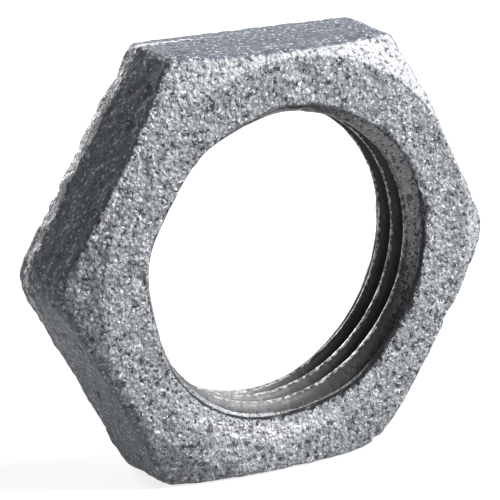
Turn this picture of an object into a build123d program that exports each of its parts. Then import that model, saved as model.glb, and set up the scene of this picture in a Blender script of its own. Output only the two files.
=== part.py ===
from build123d import *
import os
from math import ceil, cos, radians, sin, tan

# Flat lock nut of malleable iron with a G 1 female pipe thread, in millimetres.
# It stands on one of its flats: +Z is up and the thread's axis is Y. The chamfered front face
# looks along -Y. The origin is on the thread's axis, midway between the two faces.

# Hexagon
across_flats = 44.0  # over the flats, at the back face
thickness = 9.6  # from the back face to the front face
flat_draft = 1.5  # degrees by which each flat leans in toward the front
corner_radius = 2.5  # cast corners between the flats
back_edge_radius = 0.5  # cast edge between the flats and the back face

# Conical chamfer on the front
front_face_diameter = 42.8  # rim of the flat front face
front_chamfer_angle = 24.0  # degrees between the front face and the cone
front_edge_radius = 0.8  # cast edge between the front face and the cone
ridge_radius = 0.5  # cast edge between the cone and the flats

# Thread, a 55 degree Whitworth form of 11 turns to the inch
thread_major_diameter = 33.249
thread_pitch = 25.4 / 11
thread_angle = 55.0  # degrees between the two flanks
groove_offset = 0.86  # where the groove passes the +X side, measured from mid-thickness

# Countersinks that lead into the thread
front_countersink_reach = 1.35  # from the crests out to where its cone would meet the front face
back_countersink_reach = 1.65  # from the crests out to the back face
countersink_angle = 65.0  # degrees, over both sides of the cone
mouth_radius = 1.0  # cast edge between the front face and its countersink

# Whitworth form: a sharp V, with a sixth of its height taken off at crest and root
half_angle = radians(thread_angle / 2)
sharp_height = thread_pitch / 2 / tan(half_angle)
thread_depth = sharp_height * 2 / 3
major_radius = thread_major_diameter / 2
minor_radius = major_radius - thread_depth
sharp_root_radius = major_radius + sharp_height / 6  # where the two flanks would meet
root_radius = sharp_height / 6 * sin(half_angle) / (1 - sin(half_angle))

front_y = -thickness / 2
back_y = thickness / 2
blank_radius = across_flats * 0.6  # clear of the hexagon's corners
tap_overrun = thread_pitch  # the tap's groove runs on past both faces by this much
hole_overlap = 0.2  # how far cuts that end in the tapping hole reach in past its wall


def groove_half_width(radius):
    """Half the groove's width along the axis, where its straight flanks pass this radius."""
    return (sharp_root_radius - radius) * tan(half_angle)


# The nut's outer form, still without its hole
with BuildPart() as casting:
    # Hexagon with corners at -X and +X, narrowing toward the front
    with BuildSketch(Plane.XZ.offset(-back_y)):
        hexagon = RegularPolygon(across_flats / 2, side_count=6, major_radius=False)
        fillet(hexagon.vertices(), radius=corner_radius)
    extrude(amount=thickness, taper=flat_draft)
    back_face = casting.faces().sort_by(Axis.Y)[-1]
    fillet(back_face.edges(), radius=back_edge_radius)

    # Conical chamfer: what lies outside this turned outline is cut away
    front_rim = (front_face_diameter / 2, front_y)
    cone_length = (blank_radius - front_face_diameter / 2) * tan(radians(front_chamfer_angle))
    with BuildSketch(Plane.XY):
        turned = Polygon(
            (0, front_y),
            front_rim,
            (blank_radius, front_y + cone_length),
            (blank_radius, back_y),
            (0, back_y),
            align=None,
        )
        fillet(turned.vertices().sort_by_distance(front_rim)[0], radius=front_edge_radius)
    revolve(axis=Axis.Y, mode=Mode.INTERSECT)
    cone = casting.faces().filter_by(GeomType.CONE).sort_by(SortBy.AREA)[-1]
    ridges = cone.edges().filter_by(GeomType.HYPERBOLA) + cone.edges().filter_by(GeomType.BSPLINE)
    fillet(ridges, radius=ridge_radius)

    # Countersinks, which reach in past the wall of the tapping hole
    countersinks = (
        (front_y, back_y, minor_radius + front_countersink_reach),
        (back_y, front_y, minor_radius + back_countersink_reach),
    )
    hole_radius = minor_radius - hole_overlap
    for near_y, far_y, mouth in countersinks:
        depth = (mouth - hole_radius) / tan(radians(countersink_angle / 2))
        floor_y = near_y + depth * (far_y - near_y) / thickness
        with BuildSketch(Plane.XY):
            Polygon((0, near_y), (mouth, near_y), (hole_radius, floor_y), (0, floor_y), align=None)
        revolve(axis=Axis.Y, mode=Mode.SUBTRACT)
    front_mouth = casting.faces().sort_by(Axis.Y)[0].inner_wires()[0]
    fillet(front_mouth.edges(), radius=mouth_radius)

# The tapped hole, in a round blank that is longer than the tap's groove, cut to the outer form
with BuildPart() as lock_nut:
    blank_length = thickness + 2 * tap_overrun + 4 * thread_pitch
    with BuildSketch(Plane.XZ.offset(-blank_length / 2)):
        Circle(blank_radius)
        Circle(minor_radius, mode=Mode.SUBTRACT)
    extrude(amount=blank_length)

    # The groove follows a right-hand helix, which starts above the axis, a quarter turn before
    # it passes the +X side
    turns_before = ceil((groove_offset - front_y + tap_overrun) / thread_pitch)
    groove_start = groove_offset - (turns_before + 0.25) * thread_pitch
    with BuildLine():
        groove_path = Helix(
            pitch=thread_pitch,
            height=back_y + tap_overrun - groove_start,
            radius=minor_radius,
            center=(0, groove_start, 0),
            direction=(0, 1, 0),
        )
    # Local x of the groove's section runs out from the axis, and local y runs along the axis
    with BuildSketch(Plane(origin=(0, groove_start, 0), x_dir=(0, 0, 1), z_dir=(-1, 0, 0))):
        hole_width = groove_half_width(hole_radius)
        arc_radius = sharp_root_radius - root_radius * cos(half_angle) / tan(half_angle)
        arc_width = groove_half_width(arc_radius)
        with BuildLine():
            Polyline(
                (arc_radius, -arc_width),
                (hole_radius, -hole_width),
                (hole_radius, hole_width),
                (arc_radius, arc_width),
            )
            ThreePointArc((arc_radius, arc_width), (major_radius, 0), (arc_radius, -arc_width))
        make_face()
    sweep(path=groove_path, is_frenet=True, mode=Mode.SUBTRACT)
    add(casting.part, mode=Mode.INTERSECT)

lock_nut.part.label = "lock_nut"

os.makedirs("parts", exist_ok=True)
export_step(lock_nut.part, "parts/lock_nut.step")
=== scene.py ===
import math

import bpy
import numpy as np
from mathutils import Matrix, Vector, noise


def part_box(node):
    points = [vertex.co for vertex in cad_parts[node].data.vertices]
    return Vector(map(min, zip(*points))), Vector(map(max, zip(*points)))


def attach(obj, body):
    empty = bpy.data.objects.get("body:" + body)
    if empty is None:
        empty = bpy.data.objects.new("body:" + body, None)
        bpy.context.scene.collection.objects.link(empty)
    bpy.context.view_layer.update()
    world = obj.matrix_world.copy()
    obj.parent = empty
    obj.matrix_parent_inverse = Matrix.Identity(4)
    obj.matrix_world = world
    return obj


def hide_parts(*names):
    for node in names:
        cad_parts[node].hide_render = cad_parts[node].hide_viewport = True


# Flat lock nut of galvanised malleable iron, standing on one of its flats.
# Lengths are in metres, in the frame's axes: +Z up, the thread's axis along Y, front face to -Y.
# Angles round the axis run from +X toward +Z.

MM = 0.001

# Outer form
APOTHEM = 22.08 * MM  # from the axis to each flat, at the back face
FLAT_SLOPE = 0.031  # by which the flats lean in toward the front
CORNER_RADII = [r * MM for r in (3.8, 1.2, 1.0, 4.0, 1.7, 5.0)]  # cast corners, from +X on
RIM_RADIUS = 21.35 * MM  # of the flat front face
RIM_CENTRE = (0.7 * MM, -0.3 * MM)  # x and z: the chamfer is cast a little off the axis
CONE_SPREAD = 2.24  # by which the cone widens for each unit of depth
BORE_CENTRE = (0.48 * MM, -0.08 * MM)  # x and z: the hole is tapped a little off the axis
LEAST_CHAMFER = 0.3 * MM  # depth of the chamfer where the rim nearly meets a flat

# Thread
PITCH = 25.4 / 11 * MM
MAJOR_RADIUS = 33.249 / 2 * MM
HALF_ANGLE = math.radians(55 / 2)
SHARP_HEIGHT = PITCH / 2 / math.tan(HALF_ANGLE)
MINOR_RADIUS = MAJOR_RADIUS - SHARP_HEIGHT * 2 / 3
SHARP_ROOT_RADIUS = MAJOR_RADIUS + SHARP_HEIGHT / 6
ROOT_ROUNDING = SHARP_HEIGHT / 6 * math.sin(HALF_ANGLE) / (1 - math.sin(HALF_ANGLE))
GROOVE_OFFSET = 0.86 * MM  # where the groove passes +X, from mid-thickness

# Countersinks
FRONT_MOUTH = MINOR_RADIUS + 1.15 * MM
MOUTH_WANDER = 0.45 * MM  # by which the front mouth strays from its circle
BACK_MOUTH = MINOR_RADIUS + 1.65 * MM
COUNTERSINK_SLOPE = math.tan(math.radians(65 / 2))
SINK_BLEND = 0.25 * MM  # over which the thread's skin fades into the countersink's

# Roundings of the section's corners
MOUTH_ROUNDING = 0.7 * MM
RIM_ROUNDING = 0.8 * MM
RIDGE_ROUNDING = 0.45 * MM
LEFT_RIDGE_ROUNDING = 1.3 * MM  # the ridge is blunter on the left
BACK_ROUNDING = 0.6 * MM
BACK_MOUTH_ROUNDING = 0.25 * MM

# Frosty bead of zinc that the flats carry along the back edge, most of all at the upper left; its pale colour is
# partly the bead's zinc and partly a painted highlight
DRIP_SIDE = math.radians(150)
DRIP_HEIGHT = 1.75 * MM  # of the bead's middle over the back face
DRIP_WIDTH = 0.75 * MM
DRIP_ROUNDING = 1.9 * MM
DRIP_SWELL = 0.65 * MM
# Painted shade: the dark part of the back edge's rounding, beside the bead
SHADED_BRINK_SHARE = 0.5  # of the back edge's rounding that is dark

# Painted highlights: a bright band on the chamfer, at the top right, and a crescent under the hole's mouth
BAND_SIDE = math.radians(68)
BAND_REACH = math.radians(50)
CRESCENT_SIDE = math.radians(-102)
CRESCENT_REACH = math.radians(34)
CRESCENT_MIDDLE = MINOR_RADIUS + 2.4 * MM
CRESCENT_WIDTH = 1.1 * MM

# Painted light: the hole is painted paler at its foot, to the left, where light falls into it
LIT_SIDE = math.radians(-108)
LIT_REACH = math.radians(27)

# The flats' painted shade is lifted beside the left corner, so they show paler there, as a painted highlight
PALE_SIDE = math.radians(192)
PALE_REACH = math.radians(13)
PALE_SHARE = 0.45

# Painted light: the mouth at the upper right is painted paler, over the first turn of the thread, where light falls
# on it
LIT_MOUTH_SIDE = math.radians(22)
LIT_MOUTH_REACH = math.radians(48)
LIT_MOUTH_DEPTH = 2.0 * MM

# The flat at the upper right is cast a little proud
PROUD_SIDE = math.radians(42)
PROUD_REACH = math.radians(13)
PROUD_SWELL = 0.3 * MM

# Painted shade: a dark ragged lip between the mouth and the face, at the right
LIP_SIDE = math.radians(-24)
LIP_SHADE_DEPTH = 0.34 * MM
LIP_SHADE_WIDTH = 0.25 * MM

# Mesh
COLUMNS = 720  # round the axis
WALL_ROWS = 44  # along the tapped hole

# Camera, from the photograph's vanishing lines, the hole and the outline
CAMERA_AZIMUTH = -32.628
CAMERA_ELEVATION = 17.42
CAMERA_DISTANCE = 284.67 * MM
CAMERA_PAN = -0.229
CAMERA_TILT = 0.042
CAMERA_ROLL = 1.164
FOCAL_PIXELS = 2836.99
IMAGE_PIXELS = 500
SENSOR = 36.0


def hexagon_reach(angle, apothem):
    """Distance from the axis to the rounded hexagon, along rays at these angles."""
    sixth = math.pi / 3
    reach = apothem / np.cos((angle % sixth) - sixth / 2)
    for number, radius in enumerate(CORNER_RADII):
        off = (angle - number * sixth + math.pi) % (2 * math.pi) - math.pi
        centre = (apothem - radius) / math.cos(sixth / 2)
        tangent = sixth / 2 - np.arctan((apothem - radius) * math.tan(sixth / 2) / apothem)
        under = np.maximum(radius**2 - (centre * np.sin(off)) ** 2, 0)
        arc = centre * np.cos(off) + np.sqrt(under)
        reach = np.where(np.abs(off) < tangent, arc, reach)
    return reach


def flat_reach(angle, height):
    """Distance from the axis to the outside, at this height over the back face."""
    proud = PROUD_SWELL * bell(turn_from(angle, PROUD_SIDE), PROUD_REACH)
    return hexagon_reach(angle, APOTHEM - FLAT_SLOPE * height) + proud


def cone_reach(angle, depth):
    """Distance from the axis to the off-centre chamfer at this depth below the front face."""
    along = RIM_CENTRE[0] * np.cos(angle) + RIM_CENTRE[1] * np.sin(angle)
    offset = RIM_CENTRE[0] ** 2 + RIM_CENTRE[1] ** 2
    radius = RIM_RADIUS + CONE_SPREAD * depth
    return along + np.sqrt(radius**2 - offset + along**2)


def ridge_depth(angle, thickness):
    """Depth at which the cone meets the flats, found by halving."""
    low = np.full_like(angle, LEAST_CHAMFER)
    high = np.full_like(angle, thickness * 0.6)
    for _ in range(30):
        middle = (low + high) / 2
        flats = flat_reach(angle, thickness - middle)
        outside = cone_reach(angle, middle) > flats
        high = np.where(outside, middle, high)
        low = np.where(outside, low, middle)
    return (low + high) / 2


def section_corners(angle, thickness):
    """The section's corners in each half-plane, as (distance from the axis, y) pairs, from the
    front mouth round the outside to the back mouth."""
    front, back = -thickness / 2, thickness / 2
    depth = ridge_depth(angle, thickness)
    ridge = flat_reach(angle, thickness - depth)
    rim = np.minimum(cone_reach(angle, 0 * angle), ridge - CONE_SPREAD * LEAST_CHAMFER / 2)
    ones = np.ones_like(angle)
    circle = [noise.noise(Vector((2.2 * math.cos(a), 2.2 * math.sin(a), 0.7))) for a in angle]
    return [
        (FRONT_MOUTH + MOUTH_WANDER * np.array(circle), front * ones),
        (rim, front * ones),
        (ridge, front + depth),
        (flat_reach(angle, 0) + DRIP_SWELL * drip_share(angle), back * ones),
        (BACK_MOUTH * ones, back * ones),
    ]


def drip_share(angle):
    """1 in the middle of the flat with the bead of zinc, and 0 past its corners."""
    return np.cos((angle - DRIP_SIDE) * 1.5) ** 2 * (np.cos(angle - DRIP_SIDE) > 0.5)


def bell(off, reach):
    """1 at 0, falling smoothly to a third at this reach."""
    return np.exp(-((off / reach) ** 2))


def turn_from(angle, side):
    """How far these angles are from a side, the shorter way round."""
    return (angle - side + math.pi) % (2 * math.pi) - math.pi


def round_corner(before, corner, after, radius, count):
    """Rows of a corner rounded between its two neighbours, and how near each row is to it."""
    legs = []
    for other in (before, after):
        leg = other - corner
        legs.append((leg, np.linalg.norm(leg, axis=0)))
    cosine = (legs[0][0] * legs[1][0]).sum(0) / (legs[0][1] * legs[1][1])
    half_turn = (math.pi - np.arccos(np.clip(cosine, -1, 1))) / 2
    tangent = radius * np.tan(half_turn)
    tangent = np.minimum(tangent, 0.45 * np.minimum(legs[0][1], legs[1][1]))
    start, end = (corner + leg / length * tangent for leg, length in legs)
    rows = []
    for t in np.linspace(0, 1, count):
        rows.append((1 - t) ** 2 * start + 2 * t * (1 - t) * corner + t**2 * end)
    return rows


def thread_radius(angle, y):
    """Distance from the axis to the thread's surface."""
    groove = GROOVE_OFFSET - PITCH * angle / (2 * math.pi)
    off = np.abs((y - groove + PITCH / 2) % PITCH - PITCH / 2)
    flank = SHARP_ROOT_RADIUS - off / math.tan(HALF_ANGLE)
    sag = ROOT_ROUNDING - np.sqrt(np.maximum(ROOT_ROUNDING**2 - off**2, 0))
    root = np.where(off < ROOT_ROUNDING * math.cos(HALF_ANGLE), MAJOR_RADIUS - sag, flank)
    return np.maximum(root, MINOR_RADIUS)


def wall_rows(angle, start_y, end_y):
    """The y of each row along the tapped hole. Rows near a crest's or root's edge lie on it."""
    rows = np.linspace(start_y, end_y, WALL_ROWS)[:, None].repeat(len(angle), 1)
    step = (end_y - start_y) / (WALL_ROWS - 1)
    columns = np.arange(len(angle))
    crest_edge = PITCH / 2 - PITCH / 12
    root_edge = ROOT_ROUNDING * math.cos(HALF_ANGLE)
    turns = math.ceil((end_y - start_y) / PITCH) + 1
    for turn in range(-turns, turns + 1):
        for edge in (-crest_edge, -root_edge, root_edge, crest_edge):
            y = GROOVE_OFFSET - PITCH * angle / (2 * math.pi) + turn * PITCH + edge
            near = np.rint((y - start_y) / step).astype(int)
            inside = (near > 0) & (near < WALL_ROWS - 1)
            rows[near[inside], columns[inside]] = y[inside]
    return rows


def section_rows(angle, thickness):
    """Every row of the mesh, as (distance, y) arrays, with how ragged it is, how bare its metal is
    in the tapped hole (-1 outside it), how far it follows the hole's centre, and its station:
    0 at the front mouth, 1 at the rim, 2 at the ridge, 3 at the back edge, 4 at the back mouth and
    5 in the hole."""
    corners = [np.array(pair) for pair in section_corners(angle, thickness)]
    front, back = -thickness / 2, thickness / 2
    inner_depth = thickness / 4
    front_cone = np.array([corners[0][0] - COUNTERSINK_SLOPE * inner_depth, corners[0][1] + inner_depth])
    back_cone = np.array([corners[4][0] - COUNTERSINK_SLOPE * inner_depth, corners[4][1] - inner_depth])
    outline = [front_cone, *corners, back_cone]
    leftness = np.clip(-np.cos(angle), 0, 1)
    mouth_ragged = 0.3 + 3.0 * np.clip(np.cos(angle - LIP_SIDE), 0, 1)
    ridge_rounding = RIDGE_ROUNDING + (LEFT_RIDGE_ROUNDING - RIDGE_ROUNDING) * leftness
    back_rounding = BACK_ROUNDING + (DRIP_ROUNDING - BACK_ROUNDING) * drip_share(angle)
    # Each corner's rounding, its rows, how ragged it is, its pull toward the hole's centre, and
    # the rows of the run that leads to it
    roundings = (
        (MOUTH_ROUNDING, 6, mouth_ragged, 1.0, 0),
        (RIM_ROUNDING, 5, 0.0, 0.0, 14),
        (ridge_rounding, 6, 0.15, 0.0, 7),
        (back_rounding, 6, 0.7 + 0.9 * drip_share(angle), 0.0, 23),
        (BACK_MOUTH_ROUNDING, 3, 0.3, 1.0, 15),
    )
    rows, ragged, pull, station = [], [], [], []
    for number, (radius, count, rough, pulled, run) in enumerate(roundings):
        arc = round_corner(outline[number], outline[number + 1], outline[number + 2], radius, count)
        for t in np.linspace(0, 1, run + 2)[1:-1] if run else ():
            rows.append(last_row + (arc[0] - last_row) * t)
            ragged.append(0 * angle)
            pull.append(last_pull + (pulled - last_pull) * t)
            station.append(number - 0.9 + 0.8 * t)
        rows += arc
        ragged += [(rough + 0 * angle) * math.sin(math.pi * (k + 0.5) / count) for k in range(count)]
        pull += [pulled] * count
        station += list(np.linspace(number - 0.1, number + 0.1, count))
        last_row, last_pull = rows[-1], pull[-1]
    bare = [-np.ones_like(angle)] * len(rows)
    bare[0] = 0 * angle

    start_y, end_y = rows[0][1][0], rows[-1][1][0]
    wall = wall_rows(angle, start_y, end_y)[1:-1]
    for y in wall[::-1]:
        front_sink = corners[0][0] - COUNTERSINK_SLOPE * (y - front)
        back_sink = corners[4][0] - COUNTERSINK_SLOPE * (back - y)
        sink = np.maximum(front_sink, back_sink)
        thread = thread_radius(angle, y)
        rows.append(np.array([np.maximum(thread, sink), y]))
        ragged.append(0 * angle)
        pull.append(1.0)
        station.append(5.0)
        height = (MAJOR_RADIUS - thread) / (MAJOR_RADIUS - MINOR_RADIUS)
        bare.append(np.clip(height, 0, 1) + 2 * np.clip((sink - thread) / SINK_BLEND, 0, 1))
    bare[-1] = 0 * angle
    return rows, ragged, bare, pull, station


def cast_relief(point, ragged):
    """How far the cast skin stands out from its true place: swells, lumps, grain and pits. Along
    the edges, where the zinc drips and the casting is chipped, the lumps are larger."""
    swell = noise.fractal(point / (9 * MM), 0.6, 2.0, 2) * 0.05 * MM
    lump = noise.noise(point / (2.2 * MM)) * (0.07 + 0.16 * ragged) * MM
    grain = noise.noise(point / (0.85 * MM)) * (0.05 + 0.13 * ragged) * MM
    pit = max(0.0, noise.noise(point / (1.4 * MM) + Vector((7, 3, 5))) - 0.34) * 0.6 * MM
    return swell + lump + grain - pit


def skin_marks(angle, radius, depth, thickness, bare, station):
    """What the material needs to know about each vertex, each mark from 0 to 1."""
    ridge = ridge_depth(angle, thickness)
    height = thickness - depth
    face, chamfer = station < 1, (station > 1) & (station < 1.92)
    flat, hole = (station > 2) & (station < 3.1), bare >= 0
    leftness = np.clip(-np.cos(angle), 0, 1)
    rightness = np.clip(np.cos(angle - LIP_SIDE), 0, 1)

    # The pale bead along the back edge: partly the bead's frosty zinc, partly a painted highlight on its rounding
    pale_bead_and_highlight = bell(height - DRIP_HEIGHT, DRIP_WIDTH) * (0.3 + 0.7 * drip_share(angle))
    # Beads along the upper-left ridge: partly worn zinc, partly painted highlight
    edge = bell(depth - ridge, 0.45 * MM) * leftness * np.clip(np.sin(angle) * 3, 0, 1)
    # Painted highlight: a bright band on the chamfer at the top right, where it faces the light
    chamfer_highlight = bell(turn_from(angle, BAND_SIDE), BAND_REACH) * chamfer
    # Painted highlight: a pale crescent under the mouth, where its rounding faces the light
    crescent_highlight = bell(turn_from(angle, CRESCENT_SIDE), CRESCENT_REACH) * (face & ~hole)
    crescent_highlight = np.minimum(1.5 * crescent_highlight * bell(radius - CRESCENT_MIDDLE, CRESCENT_WIDTH), 1)
    # Painted light: the foot of the hole, to the left, painted paler where light falls into it
    lit_foot = bell(turn_from(angle, LIT_SIDE), LIT_REACH) * hole
    # Painted light: the mouth at the upper right and its first thread turn, painted paler
    run = bell(turn_from(angle, LIT_MOUTH_SIDE), LIT_MOUTH_REACH) * np.clip((LIT_MOUTH_DEPTH - depth) / SINK_BLEND, 0, 1)
    # Painted shade: a dark ragged lip round the mouth, darkest at the right, where the rounding turns from the light
    lip_shade = bell(depth - LIP_SHADE_DEPTH, LIP_SHADE_WIDTH) * np.maximum(1.1 * rightness, 0.6) * (face & (radius < FRONT_MOUTH + MOUTH_WANDER) | hole)
    # Painted shade: the back edge's rounding beside the bead is darkened
    brink_shade = SHADED_BRINK_SHARE * (BACK_ROUNDING + (DRIP_ROUNDING - BACK_ROUNDING) * drip_share(angle))
    brink_shade = np.clip(1.5 - height / brink_shade, 0, 1) * drip_share(angle) * (station > 2) * (station < 3.1)
    return {
        # Worn corners, the upper-left ridge and the pale bead, with the painted highlight of the crescent and the
        # painted light of the hole's foot
        "wear_and_painted_light": np.maximum(np.maximum(np.maximum(0.3 * corner_wear(angle), 0.75 * edge), pale_bead_and_highlight) * (station > 1.85) * (station < 3.1), 0.42 * np.maximum(crescent_highlight, lit_foot)),
        "cut": hole * 1.0,
        # The first turn at the upper right takes the countersink's colour, as part of the painted light there
        "sink": np.clip(np.maximum((bare - 1) / 2, 1.5 * run * hole), 0, 1),
        "bare": bare,
        # side marks the flats: the material paints them darker as painted shade, less so beside the left corner, as
        # painted highlight
        "side": np.clip(5 * (station - 1.8), 0, 1) * np.clip(5 * (3.3 - station), 0, 1) * ~hole
        * (1 - PALE_SHARE * bell(turn_from(angle, PALE_SIDE), PALE_REACH)),
        # Painted light: highlights on the chamfer band and the crescent, and light in the hole's foot and upper-right
        # mouth
        "painted_light": np.maximum(np.maximum(chamfer_highlight, crescent_highlight), np.maximum(0.8 * run * hole, 0.7 * lit_foot)),
        # Painted shade: the mouth's dark lip and the back edge's dark brink
        "painted_shade": np.maximum(lip_shade, brink_shade),
    }


def corner_wear(angle):
    """1 on the corners between the flats, falling to 0 beside them."""
    off = (angle + math.pi / 6) % (math.pi / 3) - math.pi / 6
    return np.exp(-((off / math.radians(3.0)) ** 2))


def make_casting(low, high):
    """The whole nut as one closed mesh of quads, rows along its section by columns round it."""
    thickness = high.y - low.y
    angle = np.arange(COLUMNS) * 2 * math.pi / COLUMNS
    rows, ragged, bare, pull, station = (
        np.array(given) for given in section_rows(angle, thickness)
    )
    count = len(rows)
    radius, y = rows[:, 0], rows[:, 1]
    x = radius * np.cos(angle) + BORE_CENTRE[0] * pull[:, None]
    z = radius * np.sin(angle) + BORE_CENTRE[1] * pull[:, None]
    points = np.stack([x, y, z], axis=2).reshape(-1, 3)

    skin = skin_marks(angle, radius, y + thickness / 2, thickness, bare, station[:, None])
    ragged = ragged.reshape(-1)

    faces = []
    for row in range(count):
        after = (row + 1) % count
        for column in range(COLUMNS):
            beside = (column + 1) % COLUMNS
            faces.append(
                (
                    row * COLUMNS + column,
                    after * COLUMNS + column,
                    after * COLUMNS + beside,
                    row * COLUMNS + beside,
                )
            )
    mesh = bpy.data.meshes.new("nut_casting")
    mesh.from_pydata(points.tolist(), [], faces)
    mesh.update()

    normals = np.zeros(len(points) * 3)
    mesh.vertices.foreach_get("normal", normals)
    normals = normals.reshape(-1, 3)
    relief = np.array([cast_relief(Vector(point), rough) for point, rough in zip(points, ragged)])
    relief *= 1 - 0.7 * skin["cut"].reshape(-1)
    points = points + normals * relief[:, None]
    points = np.clip(points, np.array(low), np.array(high))
    mesh.vertices.foreach_set("co", points.reshape(-1))

    for name, values in skin.items():
        layer = mesh.attributes.new(name, "FLOAT", "POINT")
        layer.data.foreach_set("value", values.reshape(-1).astype(np.float32))
    mesh.shade_smooth()
    mesh.update()
    casting = bpy.data.objects.new("nut_casting", mesh)
    bpy.context.collection.objects.link(casting)
    return casting


class Nodes:
    """Short hands for building one material's node tree."""

    def __init__(self, name):
        self.material = bpy.data.materials.new(name)
        self.material.use_nodes = True
        self.tree = self.material.node_tree
        self.shader = self.tree.nodes["Principled BSDF"]

    def add(self, kind, **values):
        node = self.tree.nodes.new(kind)
        for name, value in values.items():
            setattr(node, name, value)
        return node

    def link(self, source, target):
        self.tree.links.new(source, target)

    def noise(self, place, size, detail=2.0, roughness=0.5):
        """Noise whose features are about this size."""
        node = self.add("ShaderNodeTexNoise")
        node.inputs["Scale"].default_value = 1 / size
        node.inputs["Detail"].default_value = detail
        node.inputs["Roughness"].default_value = roughness
        self.link(place, node.inputs["Vector"])
        return node.outputs["Fac"]

    def cells(self, place, size):
        """0 at the middle of each rounded grain, rising to its rim."""
        node = self.add("ShaderNodeTexVoronoi", feature="F1")
        node.inputs["Scale"].default_value = 1 / size
        self.link(place, node.inputs["Vector"])
        return node.outputs["Distance"]

    def spread(self, value, low, high, new_low, new_high):
        node = self.add("ShaderNodeMapRange", interpolation_type="SMOOTHSTEP")
        for name, number in (("From Min", low), ("From Max", high), ("To Min", new_low), ("To Max", new_high)):
            node.inputs[name].default_value = number
        self.link(value, node.inputs["Value"])
        return node.outputs["Result"]

    def broken(self, mark, grain, share=1.0):
        """A soft mark broken up into crisp patches by a noise."""
        swayed = self.math("ADD", mark, self.math("MULTIPLY", self.math("SUBTRACT", grain, 0.5), share))
        return self.spread(swayed, 0.38, 0.62, 0.0, 1.0)

    def mix(self, factor, a, b, blend="MIX"):
        """Mixes two colours, each a socket or a written colour."""
        node = self.add("ShaderNodeMix", data_type="RGBA", blend_type=blend)
        for value, socket in ((factor, node.inputs[0]), (a, node.inputs[6]), (b, node.inputs[7])):
            if isinstance(value, (tuple, float)):
                socket.default_value = value
            else:
                self.link(value, socket)
        return node.outputs[2]

    def math(self, operation, a, b):
        node = self.add("ShaderNodeMath", operation=operation)
        for value, socket in ((a, node.inputs[0]), (b, node.inputs[1])):
            if isinstance(value, float):
                socket.default_value = value
            else:
                self.link(value, socket)
        return node.outputs[0]

    def attribute(self, name):
        return self.add("ShaderNodeAttribute", attribute_name=name).outputs["Fac"]


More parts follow.
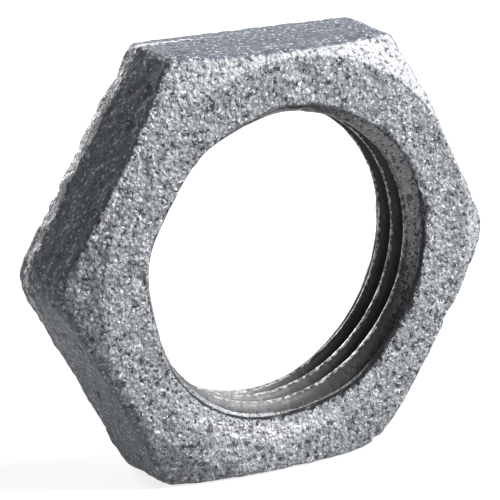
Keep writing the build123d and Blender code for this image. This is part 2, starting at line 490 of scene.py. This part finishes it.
def zinc_material():
    """Hot-dip zinc on rough cast iron: blue-grey grains with dark gaps and pits between them, partly painted shade,
    paler on worn edges, with painted highlights and painted shade, and a tapped thread painted near black as the
    hole's shade, with bare crests."""
    n = Nodes("galvanised_zinc")
    place = n.add("ShaderNodeTexCoord").outputs["Object"]
    fine = n.noise(place, 0.22 * MM, 2.0, 0.6)
    grains = n.cells(place, 0.45 * MM)
    flecks = n.noise(place, 0.5 * MM, 2.0, 0.55)
    lumps = n.noise(place, 1.3 * MM, 2.0, 0.5)
    clouds = n.noise(place, 4 * MM, 3.0, 0.65)
    patchy = n.math("ADD", flecks, n.math("MULTIPLY", n.math("SUBTRACT", clouds, 0.5), 0.3))
    pits = n.spread(patchy, 0.30, 0.39, 1.0, 0.0)
    sparks = n.spread(n.noise(place, 0.36 * MM, 1.0, 0.5), 0.61, 0.69, 0.0, 1.0)
    height = n.math("SUBTRACT", n.math("MULTIPLY", fine, 0.6), n.math("MULTIPLY", grains, 0.8))
    height = n.math("ADD", height, n.math("MULTIPLY", flecks, 1.5))
    height = n.math("SUBTRACT", height, n.math("MULTIPLY", pits, 1.0))
    side, cut, sink = n.attribute("side"), n.attribute("cut"), n.attribute("sink")
    soft_wear_and_painted_light = n.attribute("wear_and_painted_light")
    wear_and_painted_light = n.broken(soft_wear_and_painted_light, flecks, 1.5)

    # The flats take darker, bluer copies of the zinc's colours: painted shade
    gaps = n.mix(side, (0.17, 0.18, 0.20, 1.0), (0.084, 0.097, 0.123, 1.0))
    grain = n.mix(side, (0.50, 0.52, 0.55, 1.0), (0.182, 0.208, 0.256, 1.0))
    # The grain's hollows are painted darker than its tops: partly the zinc's own grain, partly painted shade
    colour = n.mix(n.spread(height, 0.3, 1.1, 0.0, 1.0), gaps, grain)
    colour = n.mix(n.spread(lumps, 0.35, 0.65, 0.35, 0.0), colour, (0.10, 0.107, 0.12, 1.0))
    colour = n.mix(n.spread(clouds, 0.35, 0.65, 0.3, 0.0), colour, (0.14, 0.15, 0.16, 1.0))
    # Painted light: the chamfer band, the crescent, the hole's foot and the upper-right mouth are painted pale
    painted_light = n.math("MULTIPLY", n.attribute("painted_light"), n.spread(flecks, 0.35, 0.55, 0.4, 0.85))
    colour = n.mix(painted_light, colour, (0.57, 0.58, 0.60, 1.0))
    colour = n.mix(n.math("MULTIPLY", sparks, 0.7), colour, (0.85, 0.86, 0.88, 1.0))
    # Pits painted near black as painted shade, except under the painted light
    colour = n.mix(n.math("MULTIPLY", pits, n.math("SUBTRACT", 1.0, painted_light)), colour, (0.03, 0.032, 0.036, 1.0))
    # Pale worn zinc, with painted highlights on the crescent, the bead and the ridge, and painted light in the hole's
    # foot
    colour = n.mix(wear_and_painted_light, colour, (0.82, 0.84, 0.86, 1.0))
    # Painted shade: the mouth's lip and the back edge's brink, near black
    painted_shade = n.broken(n.attribute("painted_shade"), flecks, 2.4)
    colour = n.mix(painted_shade, colour, (0.015, 0.016, 0.018, 1.0))
    bare = n.attribute("bare")
    # The thread's roots and flanks are painted near black, as the hole's painted shade; the crests are bare pale
    # metal
    thread = n.mix(n.spread(bare, 0.0, 0.7, 0.0, 1.0), (0.006, 0.007, 0.008, 1.0), (0.02, 0.021, 0.023, 1.0))
    crest = n.broken(n.spread(bare, 0.88, 1.0, 0.0, 0.5), flecks, 1.8)
    thread = n.mix(crest, thread, (0.52, 0.53, 0.54, 1.0))
    # Painted light on the thread's upper flanks at the hole's foot
    lit_flanks = n.math("MULTIPLY", soft_wear_and_painted_light, n.spread(bare, 0.2, 0.8, 0.0, 1.0))
    thread = n.mix(lit_flanks, thread, (0.42, 0.43, 0.44, 1.0))
    # Painted shade of the grain: dark flecks in the countersink, fewer under the painted light
    flecked_shade = n.broken(n.spread(n.attribute("painted_light"), 0.1, 0.6, 0.5, 0.2), flecks, 2.5)
    thread = n.mix(sink, thread, n.mix(flecked_shade, colour, (0.03, 0.032, 0.036, 1.0)))
    colour = n.mix(cut, colour, thread)
    n.link(colour, n.shader.inputs["Base Color"])

    roughness = n.math("ADD", n.spread(fine, 0.3, 0.7, 0.62, 0.4), n.math("MULTIPLY", side, 0.12))
    n.link(roughness, n.shader.inputs["Roughness"])
    n.shader.inputs["Specular IOR Level"].default_value = 0.32
    n.shader.inputs["Metallic"].default_value = 0.05

    smooth = n.math("MAXIMUM", n.math("MULTIPLY", side, 0.7), n.math("MULTIPLY", n.math("SUBTRACT", cut, sink), 0.85))
    strength = n.math("SUBTRACT", n.spread(clouds, 0.35, 0.65, 0.7, 1.05), n.math("SUBTRACT", smooth, wear_and_painted_light))
    bump = n.add("ShaderNodeBump")
    bump.inputs["Distance"].default_value = 0.17 * MM
    n.link(strength, bump.inputs["Strength"])
    n.link(n.math("ADD", height, n.math("MULTIPLY", lumps, 2.5)), bump.inputs["Height"])
    n.link(bump.outputs["Normal"], n.shader.inputs["Normal"])
    return n.material


def seen_ray(tree):
    """1 for rays of the camera, of gloss and of glass, which see the white backdrop."""
    path = tree.nodes.new("ShaderNodeLightPath")
    either = path.outputs["Is Camera Ray"]
    for name in ("Is Glossy Ray", "Is Transmission Ray"):
        larger = tree.nodes.new("ShaderNodeMath")
        larger.operation = "MAXIMUM"
        tree.links.new(either, larger.inputs[0])
        tree.links.new(path.outputs[name], larger.inputs[1])
        either = larger.outputs[0]
    return either


def make_floor(height):
    """A plain white floor that shows white, with the nut's soft shadow on it."""
    bpy.ops.mesh.primitive_circle_add(vertices=96, radius=2.0, fill_type="NGON", location=(0, 0, height))
    floor = bpy.context.object
    floor.name = "floor"
    material = bpy.data.materials.new("white_floor")
    material.use_nodes = True
    tree = material.node_tree
    shader = tree.nodes["Principled BSDF"]
    shader.inputs["Base Color"].default_value = (0.35, 0.35, 0.35, 1.0)
    shader.inputs["Roughness"].default_value = 0.9
    shader.inputs["Specular IOR Level"].default_value = 0.0
    shader.inputs["Emission Color"].default_value = (1.0, 1.0, 1.0, 1.0)
    # It glows white away from the nut, and a little less near it, so that a shadow shows there
    place = tree.nodes.new("ShaderNodeTexCoord")
    reach = tree.nodes.new("ShaderNodeVectorMath")
    reach.operation = "LENGTH"
    tree.links.new(place.outputs["Object"], reach.inputs[0])
    level = tree.nodes.new("ShaderNodeMapRange")
    for name, number in (("From Min", 0.04), ("From Max", 0.12), ("To Min", 0.82), ("To Max", 1.0)):
        level.inputs[name].default_value = number
    tree.links.new(reach.outputs["Value"], level.inputs["Value"])
    glow = tree.nodes.new("ShaderNodeMath")
    glow.operation = "MULTIPLY"
    tree.links.new(seen_ray(tree), glow.inputs[0])
    tree.links.new(level.outputs["Result"], glow.inputs[1])
    tree.links.new(glow.outputs[0], shader.inputs["Emission Strength"])
    floor.data.materials.append(material)
    return floor


def make_world():
    """White to the camera, and a dim even light to the nut."""
    world = bpy.data.worlds.new("studio")
    bpy.context.scene.world = world
    world.use_nodes = True
    tree = world.node_tree
    background = tree.nodes["Background"]
    background.inputs["Color"].default_value = (1.0, 1.0, 1.0, 1.0)
    strength = tree.nodes.new("ShaderNodeMapRange")
    strength.inputs["To Min"].default_value = 0.09
    strength.inputs["To Max"].default_value = 1.0
    tree.links.new(seen_ray(tree), strength.inputs["Value"])
    tree.links.new(strength.outputs["Result"], background.inputs["Strength"])


def make_light(name, azimuth, elevation, distance, size, power):
    """A square soft light that faces the nut. Azimuth 0 is in front of it, and 90 at its right."""
    data = bpy.data.lights.new(name, "AREA")
    data.size = size
    data.energy = power
    light = bpy.data.objects.new(name, data)
    bpy.context.collection.objects.link(light)
    toward = direction(azimuth, elevation)
    light.location = toward * distance
    light.rotation_mode = "QUATERNION"
    light.rotation_quaternion = toward.to_track_quat("Z", "Y")


def direction(azimuth, elevation):
    a, e = math.radians(azimuth), math.radians(elevation)
    return Vector((math.sin(a) * math.cos(e), -math.cos(a) * math.cos(e), math.sin(e)))


def make_camera():
    """The photograph's camera: it looks at the origin, then pans, tilts and rolls a little."""
    data = bpy.data.cameras.new("camera")
    data.sensor_width = SENSOR
    data.lens = SENSOR * FOCAL_PIXELS / IMAGE_PIXELS
    data.clip_start, data.clip_end = 0.01, 10
    camera = bpy.data.objects.new("camera", data)
    bpy.context.collection.objects.link(camera)
    back = direction(CAMERA_AZIMUTH, CAMERA_ELEVATION)
    ahead = -back
    right = ahead.cross(Vector((0, 0, 1))).normalized()
    up = right.cross(ahead)
    pan, tilt, roll = (math.radians(a) for a in (CAMERA_PAN, CAMERA_TILT, CAMERA_ROLL))
    ahead = (ahead + math.tan(pan) * right + math.tan(tilt) * up).normalized()
    right = ahead.cross(Vector((0, 0, 1))).normalized()
    up = right.cross(ahead)
    rolled_right = math.cos(roll) * right + math.sin(roll) * up
    rolled_up = math.cos(roll) * up - math.sin(roll) * right
    turn = Matrix((rolled_right, rolled_up, -ahead)).transposed()
    camera.matrix_world = Matrix.Translation(back * CAMERA_DISTANCE) @ turn.to_4x4()
    bpy.context.scene.camera = camera


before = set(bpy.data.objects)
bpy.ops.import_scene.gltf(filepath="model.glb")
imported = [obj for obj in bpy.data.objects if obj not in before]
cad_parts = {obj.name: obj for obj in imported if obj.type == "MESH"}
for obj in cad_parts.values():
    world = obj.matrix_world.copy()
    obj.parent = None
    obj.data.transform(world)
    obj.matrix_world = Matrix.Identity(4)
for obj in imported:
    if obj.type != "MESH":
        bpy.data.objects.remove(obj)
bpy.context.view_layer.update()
low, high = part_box("lock_nut")

casting = make_casting(low, high)
casting.data.materials.append(zinc_material())
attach(casting, "root")
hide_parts("lock_nut")

make_floor(low.z)
make_world()
make_light("key_light", 50, 41, 0.5, 0.18, 4.8)
make_light("rim_light", 180, 12, 0.5, 0.16, 2.6)
make_camera()
bpy.context.scene.view_settings.view_transform = "Standard"
